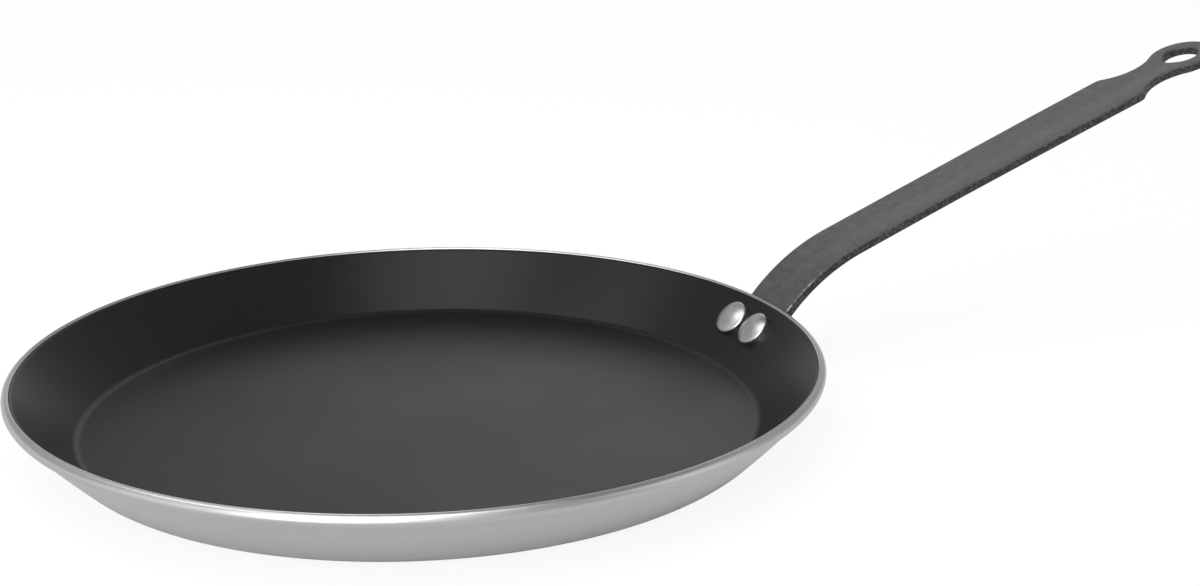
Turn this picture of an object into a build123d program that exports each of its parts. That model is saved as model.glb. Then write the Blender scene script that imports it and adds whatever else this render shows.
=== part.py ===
from build123d import *
import math
import os

# Crepe pan, in millimetres. The pan's axis is Z, its base stands on z = 0 and the handle points along +X.

# Pan, measured on its outside before its edges are rounded
rim_diameter = 300.0
base_diameter = 255.1
pan_height = 26.0
wall_bow = 0.4
foot_radius = 12.0
lip_radius = 2.45
lip_shoulder_radius = 0.8
lip_inner_radius = 0.6

# Metal under the lining, and the lining itself
wall_thickness = 3.25
floor_thickness = 2.9
foot_inner_radius = 5.0
lining_thickness = 0.3
lining_edge_drop = 0.6

# Handle strip, seen from the side: it leaves the wall at the lip, bends and runs out, arched a little
strip_thickness = 3.7
bend_radius = 83.2
arm_length = 196.8
arm_angle = 19.85
arm_arch_radius = 7750.0
pad_hollow = 0.4
seat_clearance = 0.05

# Pad that lies on the wall, seen square to it and counted down from the lip
pad_length = 22.0
pad_width = 36.0
pad_flare_start = 1.5
pad_flare_end = 8.0
pad_corner_radius = 8.0
pad_flare_radius = 9.0

# Handle strip, seen square to the arm
bend_width = 27.8
widening_from_bend = 50.0
widening_radius = 500.0
shoulder_width = 30.1
shoulder_radius = 5.0
neck_width = 16.8
neck_radius = 20.5
eye_diameter = 28.0
strip_edge_radius = 0.8

# Drop-shaped hole, with its round end at the middle of the eye
hole_diameter = 14.8
hole_point_radius = 3.4
hole_point_distance = 4.8

# Rivets, their place counted down the wall from the lip
rivet_spacing = 16.9
rivet_drop = 12.3
rivet_head_diameter = 14.8
rivet_head_height = 3.4
rivet_flank_height = 1.9
rivet_crown_diameter = 14.4
rivet_shank_diameter = 6.0
rivet_tail_diameter = 11.0
rivet_tail_height = 2.2
rivet_tail_radius = 1.2
rivet_root = 0.8
rivet_hole_clearance = 0.1

# How far a cutting shape runs past what it cuts, and how near two points count as one
overrun = 10.0
same_place = 0.001
level_share = 0.01


def polar(centre, radius, angle):
    """Point at a radius and an angle in degrees about a centre."""
    turn = math.radians(angle)
    return Vector(centre.X + radius * math.cos(turn), centre.Y + radius * math.sin(turn))


def arc_about(centre, radius, start, end):
    """Arc about a centre between two angles in degrees."""
    points = [polar(centre, radius, angle) for angle in (start, (start + end) / 2, end)]
    return ThreePointArc(*points)


def direction(start, end):
    """Angle in degrees of the line from one point to another."""
    return math.degrees(math.atan2(end.Y - start.Y, end.X - start.X))


def turned(face):
    """Solid of revolution about the pan's axis of a face drawn as radius and height."""
    return revolve(Plane.XZ * face, Axis.Z)


# The wall's outside is an arc from the foot to the lip that bows outwards
foot_point = Vector(base_diameter / 2, 0)
lip_point = Vector(rim_diameter / 2, pan_height - lip_radius)
wall_chord = lip_point - foot_point
wall_radius = (wall_chord.length ** 2 / 4 + wall_bow ** 2) / (2 * wall_bow)
wall_inward = Vector(-wall_chord.Y, wall_chord.X).normalized()
wall_centre = (foot_point + lip_point) * 0.5 + wall_inward * (wall_radius - wall_bow)


def wall_reach(inset, height):
    """Radius of the wall's surface at a height, for a surface that lies inset within the outside."""
    return wall_centre.X + math.sqrt((wall_radius - inset) ** 2 - (height - wall_centre.Y) ** 2)


def wall_angle_at(inset, height):
    """Direction in degrees of the wall's outward normal at a height."""
    return math.degrees(math.asin((height - wall_centre.Y) / (wall_radius - inset)))


def hollow(wall_inset, floor_height, top, corner_radius):
    """Half section of the space inside the pan, down to a floor and out to an inset of the wall."""
    foot = Vector(wall_reach(wall_inset, floor_height), floor_height)
    edge = Vector(wall_reach(wall_inset, top), top)
    middle_height = (floor_height + top) / 2
    middle = Vector(wall_reach(wall_inset, middle_height), middle_height)
    section = make_face([
        Line((0, floor_height), foot),
        ThreePointArc(foot, middle, edge),
        Line(edge, (0, top)),
        Line((0, top), (0, floor_height)),
    ])
    return fillet(section.vertices().sort_by_distance(foot)[0], corner_radius)


def outside(gap=0):
    """Half section of the pan as if it were solid, grown by a gap where something sits round it."""
    lip_centre = Vector(lip_point.X - lip_radius, lip_point.Y)
    lip_edge = Vector(wall_reach(-gap, lip_point.Y), lip_point.Y)
    lip_reach = lip_edge.X - lip_centre.X
    foot = Vector(wall_reach(-gap, 0), 0)
    middle = Vector(wall_reach(-gap, lip_point.Y / 2), lip_point.Y / 2)
    lip_top = Vector(lip_centre.X, lip_centre.Y + lip_reach)
    section = make_face([
        Line((0, 0), foot),
        ThreePointArc(foot, middle, lip_edge),
        arc_about(lip_centre, lip_reach, 0, 90),
        Line(lip_top, (0, lip_top.Y)),
        Line((0, lip_top.Y), (0, 0)),
    ])
    section = fillet(section.vertices().sort_by_distance(foot)[0], foot_radius)
    return fillet(section.vertices().sort_by_distance(lip_edge)[0], lip_shoulder_radius)


# Insets and heights of the lining's two faces
lined_inset = wall_thickness + lining_thickness
lined_floor = floor_thickness + lining_thickness
lining_edge = pan_height - lining_edge_drop
lined_foot_radius = foot_inner_radius - lining_thickness


def pan_blank():
    """The pan without its rivet holes."""
    section = outside() - hollow(wall_thickness, floor_thickness, pan_height, foot_inner_radius)
    lip_inside = Vector(wall_reach(wall_thickness, pan_height), pan_height)
    section = fillet(section.vertices().sort_by_distance(lip_inside)[0], lip_inner_radius)
    return turned(section)


def lining_blank():
    """The lining without its rivet holes: a skin over the floor and the wall's inside."""
    metal_side = hollow(wall_thickness, floor_thickness, lining_edge, foot_inner_radius)
    food_side = hollow(lined_inset, lined_floor, lining_edge, lined_foot_radius)
    return turned(metal_side - food_side)


# The rivets stand square to the wall, one each side of the handle's middle plane
rivet_normal = wall_angle_at(0, lip_point.Y) - math.degrees(rivet_drop / wall_radius)
rivet_seat = polar(wall_centre, wall_radius - lined_inset, rivet_normal)
rivet_turn = math.degrees(math.asin(rivet_spacing / 2 / rivet_seat.X))
rivet_outward = polar(Vector(0, 0), 1, rivet_normal)
rivet_plane = Plane(
    origin=(rivet_seat.X, 0, rivet_seat.Y),
    x_dir=(0, 1, 0),
    z_dir=(-rivet_outward.X, 0, -rivet_outward.Y),
)
tail_seat = lined_inset + strip_thickness - pad_hollow


def placed_rivet(shape, side):
    """Shape drawn about the rivet's axis, moved to the left (1) or right (-1) rivet."""
    return Rot(0, 0, side * rivet_turn) * (rivet_plane * shape)


def rivet_hole(side):
    """Cutter for one rivet's hole through the lining, the wall and the pad."""
    cutter = Cylinder(rivet_shank_diameter / 2 + rivet_hole_clearance, 2 * (tail_seat + overrun))
    return placed_rivet(cutter, side)


def rivet_head():
    """Low dome on a steep flank, from its root in the wall up to the crown."""
    head_edge = rivet_head_diameter / 2
    crown_edge = rivet_crown_diameter / 2
    crown_rise = rivet_head_height - rivet_flank_height
    crown_radius = (crown_edge ** 2 + crown_rise ** 2) / (2 * crown_rise)
    crown_centre = Vector(0, rivet_head_height - crown_radius)
    crown_angle = math.degrees(math.acos(crown_edge / crown_radius))
    section = make_face([
        Line((0, -rivet_root), (head_edge, -rivet_root)),
        Line((head_edge, -rivet_root), (head_edge, 0)),
        Line((head_edge, 0), (crown_edge, rivet_flank_height)),
        arc_about(crown_centre, crown_radius, crown_angle, 90),
        Line((0, rivet_head_height), (0, -rivet_root)),
    ])
    return turned(section)


def rivet_tail():
    """Flat button formed on the rivet's outer end, from its root in the pad outwards."""
    tail_depth = rivet_root + rivet_tail_height
    middle = -tail_seat + rivet_root - tail_depth / 2
    button = Pos(0, 0, middle) * Cylinder(rivet_tail_diameter / 2, tail_depth)
    outer_edge = button.edges().sort_by(Axis.Z)[0]
    return fillet(outer_edge, rivet_tail_radius)


def rivet(side, pad):
    """One rivet: head on the lining, shank through the wall and the pad, tail on the pad's outside."""
    inside = turned(hollow(lined_inset, lined_floor, pan_height, lined_foot_radius))
    head = placed_rivet(rivet_head(), side) & inside
    tail = placed_rivet(rivet_tail(), side) - pad
    shank_length = tail_seat + rivet_flank_height + rivet_tail_height / 2
    shank_middle = (rivet_flank_height - tail_seat - rivet_tail_height / 2) / 2
    shank = placed_rivet(Pos(0, 0, shank_middle) * Cylinder(rivet_shank_diameter / 2, shank_length), side)
    return head + shank + tail


# The strip's upper face, from the side: it follows the wall up to the lip, bends and runs out
lip_normal = wall_angle_at(pad_hollow, lip_point.Y)
rise_angle = lip_normal + 90
bend_turn = rise_angle - arm_angle
half_bend = bend_radius * math.sin(math.radians(bend_turn / 2))
bend_sag = bend_radius * (1 - math.cos(math.radians(bend_turn / 2)))
bend_start = polar(wall_centre, wall_radius - pad_hollow, lip_normal)
bend_centre = polar(bend_start, bend_radius, lip_normal)
bend_middle = polar(bend_centre, bend_radius, (rise_angle + arm_angle) / 2 + 90)
arm_start = polar(bend_centre, bend_radius, arm_angle + 90)
arch_centre = polar(arm_start, arm_arch_radius, arm_angle - 90)
arm_tip = polar(arch_centre, arm_arch_radius, arm_angle + 90 - math.degrees(arm_length / arm_arch_radius))
past_tip_angle = arm_angle - math.degrees((arm_length + overrun) / arm_arch_radius)
pad_end_normal = lip_normal - math.degrees((pad_length + overrun) / wall_radius)


def strip_side(depth):
    """Edges of the strip's side view, on a line that lies this deep under its upper face."""
    pad_edge = arc_about(wall_centre, wall_radius - pad_hollow + depth, pad_end_normal, lip_normal)
    bend_edge = arc_about(bend_centre, bend_radius - depth, lip_normal + 180, arm_angle + 90)
    arm_edge = arc_about(arch_centre, arm_arch_radius - depth, arm_angle + 90, past_tip_angle + 90)
    return [pad_edge, bend_edge, arm_edge]


def strip_blank():
    """The strip as a bent bar as wide as its widest place."""
    upper = strip_side(0)
    lower = strip_side(strip_thickness)
    ends = [Line(upper[0] @ 0, lower[0] @ 0), Line(upper[-1] @ 1, lower[-1] @ 1)]
    return extrude(Plane.XZ * make_face(upper + lower + ends), pad_width / 2, both=True)


def closed_face(half):
    """Face between the edges of its left half and their mirror image, shut by a line at its inner end."""
    other_half = [mirror(edge, Plane.XZ) for edge in half]
    return make_face(half + other_half + [Line(other_half[0] @ 0, half[0] @ 0)])


def rounded(face, corners):
    """Face with both mirrored corners at each listed point rounded."""
    for x, y, radius in corners:
        for side in (1, -1):
            corner = face.vertices().sort_by_distance(Vector(x, side * y))[0]
            face = fillet(corner, radius)
    return face


def arm_outline():
    """Half of the bend, arm, neck and eye, seen square to the arm and counted from the bend's end."""
    eye = Vector((arm_tip - arm_start).length - eye_diameter / 2, 0)
    neck_reach = (eye_diameter / 2 + neck_radius) ** 2 - (neck_width / 2 + neck_radius) ** 2
    neck_centre = Vector(eye.X - math.sqrt(neck_reach), neck_width / 2 + neck_radius)
    corner_drop = neck_centre.Y - shoulder_width / 2
    corner = Vector(neck_centre.X - math.sqrt(neck_radius ** 2 - corner_drop ** 2), shoulder_width / 2)
    touch = direction(eye, neck_centre)
    inner_end = (-half_bend - overrun, bend_width / 2)
    widening = (widening_from_bend, bend_width / 2)
    corner_angle = direction(neck_centre, corner) % 360
    face = closed_face([
        Line(inner_end, widening),
        Line(widening, corner),
        arc_about(neck_centre, neck_radius, corner_angle, touch + 180),
        arc_about(eye, eye_diameter / 2, touch, 0),
    ])
    face = rounded(face, [(*widening, widening_radius), (corner.X, corner.Y, shoulder_radius)])
    return face - Pos(eye.X, 0) * drop_hole()


def drop_hole():
    """Hole of the eye: a round end towards the tip, drawn in to a smaller round towards the neck."""
    narrow = math.degrees(math.asin((hole_diameter / 2 - hole_point_radius) / hole_point_distance))
    wide_end = arc_about(Vector(0, 0), hole_diameter / 2, -90 - narrow, 90 + narrow)
    point_centre = Vector(-hole_point_distance, 0)
    point_end = arc_about(point_centre, hole_point_radius, 90 + narrow, 270 - narrow)
    sides = [Line(wide_end @ 1, point_end @ 0), Line(point_end @ 1, wide_end @ 0)]
    return make_face([wide_end, point_end] + sides)


def pad_outline():
    """Pad and the strip's way up past the middle of the bend, counted upwards from the lip."""
    foot_corner = (-pad_length, pad_width / 2)
    flare_end = (-pad_flare_end, pad_width / 2)
    flare_start = (-pad_flare_start, bend_width / 2)
    top = (half_bend + overrun, bend_width / 2)
    face = closed_face([
        Line(top, flare_start),
        Line(flare_start, flare_end),
        Line(flare_end, foot_corner),
        Line(foot_corner, (-pad_length, 0)),
    ])
    return rounded(face, [
        (*flare_start, pad_flare_radius),
        (*flare_end, pad_flare_radius),
        (*foot_corner, pad_corner_radius),
    ])


def slope_plane(origin, angle):
    """Plane that lies on the strip: its x runs outwards up the slope, its y across to the left."""
    along = polar(Vector(0, 0), 1, angle)
    return Plane(origin=(origin.X, 0, origin.Y), x_dir=(along.X, 0, along.Y), z_dir=(-along.Y, 0, along.X))


def outline_edges(strip):
    """Edges round the strip's broad faces, without those where two broad faces meet at a bend."""
    broad = [
        face for face in strip.faces()
        if face.area > strip_thickness * pad_width and abs(face.normal_at().Y) < level_share
    ]
    edges = [edge for face in broad for edge in face.edges()]
    middles = [edge @ 0.5 for edge in edges]
    return [
        edge for edge, middle in zip(edges, middles)
        if sum((middle - other).length < same_place for other in middles) == 1
    ]


def handle_blank():
    """The handle with its outline cut and its edges rounded, fitted to the pan but not yet drilled."""
    arm_plane = slope_plane(arm_start, direction(arm_start, arm_tip))
    reach = bend_sag + strip_thickness + overrun
    arm = extrude(arm_plane * arm_outline(), reach, both=True)
    pad = extrude(slope_plane(bend_start, rise_angle) * pad_outline(), reach, both=True)
    middle_plane = slope_plane(bend_middle, (rise_angle + arm_angle) / 2)
    across_bend = Plane(middle_plane.location * Rot(0, 90, 0))
    blank = strip_blank()
    arm &= split(blank, across_bend, Keep.TOP)
    pad &= split(blank, across_bend, Keep.BOTTOM)
    strip = arm + pad
    strip = strip.fillet(strip_edge_radius, outline_edges(strip))
    return strip - turned(outside(seat_clearance))


def write(name, piece):
    """Write one piece to its own file."""
    export_step(piece, "parts/" + name + ".step")


def main():
    """Build each piece, with the rivet holes through all that the rivets join."""
    os.makedirs("parts", exist_ok=True)
    holes = [rivet_hole(side) for side in (1, -1)]
    pad = handle_blank()
    write("pan_body", pan_blank() - holes)
    write("nonstick_lining", lining_blank() - holes)
    write("handle", pad - holes)
    write("rivet_left", rivet(1, pad))
    write("rivet_right", rivet(-1, pad))


main()
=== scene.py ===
"""Crepe pan: turned aluminium body, coated inside, bent strip handle and two rivets, on a pale floor."""

import math

import bmesh
import bpy
from bpy.props import (
    FloatProperty,
    FloatVectorProperty,
    IntProperty,
    PointerProperty,
)
from mathutils import Matrix, Vector, noise


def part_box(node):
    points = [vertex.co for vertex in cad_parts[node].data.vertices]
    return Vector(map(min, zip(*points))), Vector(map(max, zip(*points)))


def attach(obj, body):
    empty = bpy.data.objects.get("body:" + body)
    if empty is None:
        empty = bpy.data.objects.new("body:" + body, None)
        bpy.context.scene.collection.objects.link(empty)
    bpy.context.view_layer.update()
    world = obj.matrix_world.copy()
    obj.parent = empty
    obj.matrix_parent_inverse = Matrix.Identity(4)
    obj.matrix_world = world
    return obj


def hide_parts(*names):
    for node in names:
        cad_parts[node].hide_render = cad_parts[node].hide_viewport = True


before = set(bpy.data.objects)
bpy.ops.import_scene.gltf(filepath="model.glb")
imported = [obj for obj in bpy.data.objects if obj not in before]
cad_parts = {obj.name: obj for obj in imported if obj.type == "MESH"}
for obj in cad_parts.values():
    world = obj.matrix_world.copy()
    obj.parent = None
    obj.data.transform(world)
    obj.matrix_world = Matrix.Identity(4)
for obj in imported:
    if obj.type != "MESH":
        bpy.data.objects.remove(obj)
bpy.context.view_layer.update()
pan_low, pan_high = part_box("pan_body")

bl_info = {
    "name": "Crepe Pan",
    "version": (1, 0, 0),
    "blender": (4, 5, 0),
    "location": "3D Viewport > Sidebar > Crepe Pan",
    "description": "Builds a crepe pan with a coated inside and a riveted strip handle",
    "category": "Object",
}

# Photograph that the camera matches
PHOTO_SIZE = (1200, 586)

# Points closer than this are one point, and mesh corners closer than the second are merged
SAME_POINT = 1e-7
MERGE_DISTANCE = 1e-6

# Seeds of the noise, and the roughness, step and octaves of the pits in the sheared edges
RIPPLE_SEED = 3
DENT_SEED = 7
TURNING = "Turned piece"
PIT_NOISE = (0.8, 2.0, 3)


def length(name, description, default):
    """Property for a size in metres."""
    return FloatProperty(name=name, description=description, default=default, unit="LENGTH", precision=5)


def angle(name, description, degrees):
    """Property for an angle."""
    return FloatProperty(name=name, description=description, default=math.radians(degrees), subtype="ANGLE")


def colour(name, description, grey, warmth=0.0):
    """Property for a near-grey colour, warmer or cooler by a small share."""
    default = (grey * (1 + warmth), grey, grey * (1 - warmth))
    return FloatVectorProperty(name=name, description=description, default=default, subtype="COLOR", size=3)


def share(name, description, default):
    """Property for a value from 0 to 1."""
    return FloatProperty(name=name, description=description, default=default, min=0, max=1, subtype="FACTOR")


def brightness(name, description, default):
    """Property for the strength of a surface or of the surroundings that shine."""
    return FloatProperty(name=name, description=description, default=default, min=0)


def lamp_power(name, description, watts):
    """Property for a lamp's power."""
    return FloatProperty(name=name, description=description, default=watts, min=0, unit="POWER")


def fade(name, description, start, end):
    """Property for the two ends of a soft change, as parts of a direction of length one."""
    return FloatVectorProperty(name=name, description=description, default=(start, end), size=2)


class PanSizes(bpy.types.PropertyGroup):
    """Sizes of the turned body and of the coating inside it"""
    height: length("Height", "Height of the lip above the surface that the pan stands on", pan_high.z)
    rim_diameter: length("Rim diameter", "Across the outside at the lip, before its edge is rounded", 0.300)
    base_diameter: length("Base diameter", "Across the underside, before its edge is rounded", 0.2551)
    wall_bow: length("Wall bow", "How far the wall bows outwards between foot and lip", 0.0004)
    foot_radius: length("Foot radius", "Rounding between the underside and the wall", 0.012)
    lip_radius: length("Lip radius", "Rounding over the top of the lip", 0.00245)
    lip_shoulder_radius: length("Lip shoulder", "Rounding where the wall meets the lip", 0.0016)
    lip_inner_radius: length("Lip inner edge", "Rounding of the lip's inner edge", 0.0006)
    wall_thickness: length("Wall thickness", "Metal of the wall", 0.00325)
    floor_thickness: length("Floor thickness", "Metal of the floor", 0.0029)
    foot_inner_radius: length("Inner foot radius", "Rounding inside, between floor and wall", 0.005)
    coating_thickness: length("Coating thickness", "Thickness of the non-stick coating", 0.0003)
    coating_edge_drop: length("Coating edge drop", "How far below the lip the coating ends", 0.0006)
    ripple_depth: length("Ripple depth", "Depth of the metal's faint unevenness", 0.00002)
    ripple_size: length("Ripple size", "Size of that unevenness", 0.05)
    steps: IntProperty(name="Steps", description="Steps round the pan", default=256, min=24)


class HandleSizes(bpy.types.PropertyGroup):
    """Sizes of the strip handle"""
    thickness: length("Thickness", "Thickness of the strip", 0.0037)
    bend_radius: length("Bend radius", "Radius of the bend above the lip, on the upper face", 0.0832)
    arm_length: length("Arm length", "From the end of the bend to the tip", 0.1968)
    arm_angle: angle("Arm angle", "Rise of the arm where it leaves the bend", 19.85)
    arch_radius: length("Arch radius", "Radius of the arm's slight arch", 7.75)
    pad_length: length("Pad length", "How far the pad reaches down the wall", 0.022)
    pad_width: length("Pad width", "Width of the pad on the wall", 0.036)
    flare_start: length("Flare start", "Where the pad starts to widen, below the lip", 0.0015)
    flare_end: length("Flare end", "Where the pad has its full width, below the lip", 0.008)
    pad_corner_radius: length("Pad corner radius", "Rounding of the pad's lower corners", 0.008)
    flare_radius: length("Flare radius", "Rounding where the pad widens", 0.009)
    bend_width: length("Bend width", "Width of the strip from the lip to the middle of the grip", 0.0278)
    widening_place: length("Widening place", "Where the strip starts to widen, past the bend", 0.05)
    widening_radius: length("Widening radius", "Rounding where the strip starts to widen", 0.5)
    shoulder_width: length("Shoulder width", "Width at the shoulders before the neck", 0.0301)
    shoulder_radius: length("Shoulder radius", "Rounding of the shoulders", 0.005)
    neck_width: length("Neck width", "Width of the neck", 0.0168)
    neck_radius: length("Neck radius", "Hollow radius of the neck", 0.0205)
    eye_diameter: length("Eye diameter", "Across the eye at the tip", 0.028)
    hole_diameter: length("Hole diameter", "Across the round end of the hanging hole", 0.0148)
    hole_point_radius: length("Hole point radius", "Rounding of the hole's narrow end", 0.0034)
    hole_point_distance: length("Hole point distance", "Between the hole's two rounds", 0.0048)
    edge_radius: length("Edge radius", "Rounding of the strip's edges", 0.0008)
    pad_hollow: length("Pad hollow", "How deep the pad is hollowed to fit the wall", 0.0004)
    seat_clearance: length("Seat clearance", "Gap between the pad and the wall", 0.00005)
    facet: length("Facet", "Length of the mesh faces along the strip", 0.0009)
    edge_roughness: length("Edge roughness", "Depth of the pits in the sheared edges", 0.00014)
    pit_size: length("Pit size", "Size of those pits", 0.00126)


class RivetSizes(bpy.types.PropertyGroup):
    """Sizes of the two rivets"""
    spacing: length("Spacing", "Between the two rivets", 0.0169)
    drop: length("Drop", "From the lip down the wall to the rivets", 0.0123)
    head_diameter: length("Head diameter", "Across the head", 0.0148)
    head_height: length("Head height", "Height of the dome above the coating", 0.0034)
    flank_height: length("Flank height", "Height of the steep rim of the head", 0.0019)
    crown_diameter: length("Crown diameter", "Across the dome above the flank", 0.0144)
    shank_diameter: length("Shank diameter", "Across the shank", 0.006)
    tail_diameter: length("Tail diameter", "Across the button outside the pad", 0.011)
    tail_height: length("Tail height", "Height of the button outside the pad", 0.0022)
    tail_radius: length("Tail radius", "Rounding of the button", 0.0012)
    root: length("Root", "How deep the head and the button sink into what they clamp", 0.0008)
    steps: IntProperty(name="Steps", description="Steps round a rivet", default=72, min=12)
    dent: length("Dent", "Depth of the hammer marks on the heads", 0.00004)
    dent_size: length("Dent size", "Size of the hammer marks", 0.0035)


class PanFinishes(bpy.types.PropertyGroup):
    """Colours and roughness of the surfaces"""
    metal: colour("Metal", "Turned aluminium", 0.6)
    metal_roughness: share("Metal roughness", "Roughness of the turned aluminium", 0.34)
    ring_depth: length("Ring depth", "Depth of the turning rings", 0.00002)
    fine_ring_depth: length("Fine ring depth", "Depth of the finest turning rings", 0.000012)
    coating: colour("Coating", "Non-stick coating", 0.009, 0.06)
    coating_roughness: share("Coating roughness", "Roughness of the coating", 0.32)
    coating_relief: length("Coating relief", "Depth of the coating's unevenness", 0.00003)
    handle: colour("Handle", "Dark finish of the strip", 0.058)
    handle_roughness: share("Handle roughness", "Roughness of the strip's finish", 0.5)
    handle_relief: length("Handle relief", "Depth of the coarse grain of the strip", 0.00012)
    handle_grain: length("Handle grain", "Depth of the fine grain of the strip", 0.00004)
    worn: colour("Worn edge", "Metal that shows where the finish is worn", 0.42)
    rivet: colour("Rivet", "Satin rivet metal", 0.62)
    rivet_roughness: share("Rivet roughness", "Roughness of the rivets", 0.3)
    fine_grain: length("Fine grain", "Depth of the grain of the coating and of the rivets", 0.00002)


class StudioSettings(bpy.types.PropertyGroup):
    """Floor, lamps and the camera that matches the photograph"""
    lens: FloatProperty(name="Lens", description="Focal length", default=60, min=1, unit="CAMERA")
    camera_distance: length("Camera distance", "From the camera to the middle of the rim", 0.7423)
    turn: angle("Turn", "Camera's turn round the pan, from square to the handle", 26.2)
    tilt: angle("Tilt", "Camera's tilt down to the floor", math.degrees(0.2976))
    roll: angle("Roll", "Camera's roll", math.degrees(0.0092))
    rim_height: length("Rim height", "Height of the point that the camera is set by", 0.0255)
    rim_pixel: FloatVectorProperty(
        name="Rim pixel", description="Where the middle of the rim shows, in the photograph's pixels",
        default=(419.93, 356.55), size=2,
    )
    floor_size: length("Floor size", "Side of the floor", 12.0)
    floor_colour: share("Floor colour", "Grey of the floor", 0.8)
    floor_seen: share("Floor seen", "How much of the floor the camera sees as plain white", 0.88)
    floor_white: brightness("Floor white", "Strength of that plain white", 1.015)
    floor_near: share("Floor by the foot", "How much of the floor by the foot the metal sees as plain", 0.02)
    floor_far: share("Floor further out", "How much of the floor further out the metal sees as plain", 0.9)
    floor_in_metal: share("Floor in metal", "Strength of the plain floor that the metal sees", 0.68)
    world_level: brightness("World level", "Strength of the soft light all round", 0.7)
    white_up_to: angle("White up to", "Height up to which the surroundings are white", 38)
    dim_from: angle("Dim from", "Height from which the surroundings are dim, up to the zenith", 62)
    zenith_level: share("Zenith level", "Strength of the surroundings overhead", 0.18)
    left_level: share("Left level", "Strength of the surroundings behind the pan on the left", 0.4)
    left_aside: fade("Left aside", "Where the left turns dim, from left to right", -0.35, 0.05)
    left_behind: fade("Left behind", "Where the left turns dim, from front to back", -0.2, 0.2)
    left_rise: fade("Left rise", "Where the left turns dim, from the horizon up", 0.02, 0.22)
    right_level: share("Right level", "Strength of the surroundings on the right", 0.42)
    right_aside: fade("Right aside", "Where the right turns dim, from left to right", 0.1, 0.45)
    right_window: share("Right window", "How far in front of the middle the right stays light", 0.1)
    right_beside: fade("Right beside", "Where the right turns dim, away from that light part", 0.15, 0.35)
    key_colour: colour("Key colour", "Colour of the large lamp", 0.95, 0.05)
    key_power: lamp_power("Key power", "Power of the large lamp", 25)
    key_turn: angle("Key turn", "Lamp's turn to the left of the camera", 19)
    key_height: angle("Key height", "Lamp's height above the horizon", 48)
    key_distance: length("Key distance", "From the lamp to the pan", 1.5)
    key_width: length("Key width", "Width of the lamp", 0.9)
    key_depth: length("Key depth", "Depth of the lamp, up over the pan", 2.8)
    rear_power: lamp_power("Rear power", "Power of the lamp behind", 2.6)
    rear_turn: angle("Rear turn", "Rear lamp's turn to the left of straight behind the pan", 74)
    rear_height: angle("Rear height", "Rear lamp's height above the horizon", 60)
    rear_size: length("Rear size", "Side of the rear lamp", 0.6)


# Plane geometry of the pan's section, drawn as radius and height

def polar(centre, radius, turn):
    """Point at a radius and an angle about a centre."""
    return Vector((centre.x + radius * math.cos(turn), centre.y + radius * math.sin(turn)))


def bearing(centre, point):
    """Angle of a point as seen from a centre."""
    return math.atan2(point.y - centre.y, point.x - centre.x)


def arc(centre, radius, start, end, steps):
    """Points along an arc, both ends included."""
    return [polar(centre, radius, start + (end - start) * i / steps) for i in range(steps + 1)]


def line(start, end, steps):
    """Points along a line, both ends included."""
    return [start.lerp(end, i / steps) for i in range(steps + 1)]


def joined(*runs):
    """Runs of points as one run, with the point that two runs share kept once."""
    points = []
    for run in runs:
        for point in run:
            if not points or (point - points[-1]).length > SAME_POINT:
                points.append(point)
    return points


class Wall:
    """The wall's outside as an arc between foot and lip, with what is worked out from it."""

    def __init__(self, pan):
        self.pan = pan
        foot = Vector((pan.base_diameter / 2, 0))
        self.lip = Vector((pan.rim_diameter / 2, pan.height - pan.lip_radius))
        chord = self.lip - foot
        self.radius = (chord.length_squared / 4 + pan.wall_bow ** 2) / (2 * pan.wall_bow)
        inward = Vector((-chord.y, chord.x)).normalized()
        self.centre = (foot + self.lip) / 2 + inward * (self.radius - pan.wall_bow)
        self.lip_centre = Vector((self.lip.x - pan.lip_radius, self.lip.y))
        self.coated_inset = pan.wall_thickness + pan.coating_thickness
        self.coated_floor = pan.floor_thickness + pan.coating_thickness

    def reach(self, inset, height):
        """Radius at a height of the surface that lies inset within the outside."""
        return self.centre.x + math.sqrt((self.radius - inset) ** 2 - (height - self.centre.y) ** 2)

    def outside_reach(self, height, gap):
        """Radius of the outside grown by a gap, wall and lip alike."""
        if height <= self.lip.y:
            return self.reach(-gap, height)
        reach = self.reach(-gap, self.lip.y) - self.lip_centre.x
        return self.lip_centre.x + math.sqrt(max(reach ** 2 - (height - self.lip.y) ** 2, 0))

    def round_centre(self, inset, height, radius):
        """Centre of a rounding that touches the inset surface: inside it, or outside for a negative radius."""
        return Vector((self.reach(inset + radius, height), height))

    def shoulder(self):
        """Centre of the rounding between the wall and the lip's own arc."""
        size = self.pan.lip_shoulder_radius
        wall_reach = self.radius - size
        lip_reach = self.pan.lip_radius - size
        apart = self.lip_centre - self.centre
        along = (wall_reach ** 2 - lip_reach ** 2 + apart.length_squared) / (2 * apart.length)
        across = math.sqrt(max(wall_reach ** 2 - along ** 2, 0))
        way = apart.normalized()
        return self.centre + way * along - Vector((-way.y, way.x)) * across


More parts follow.
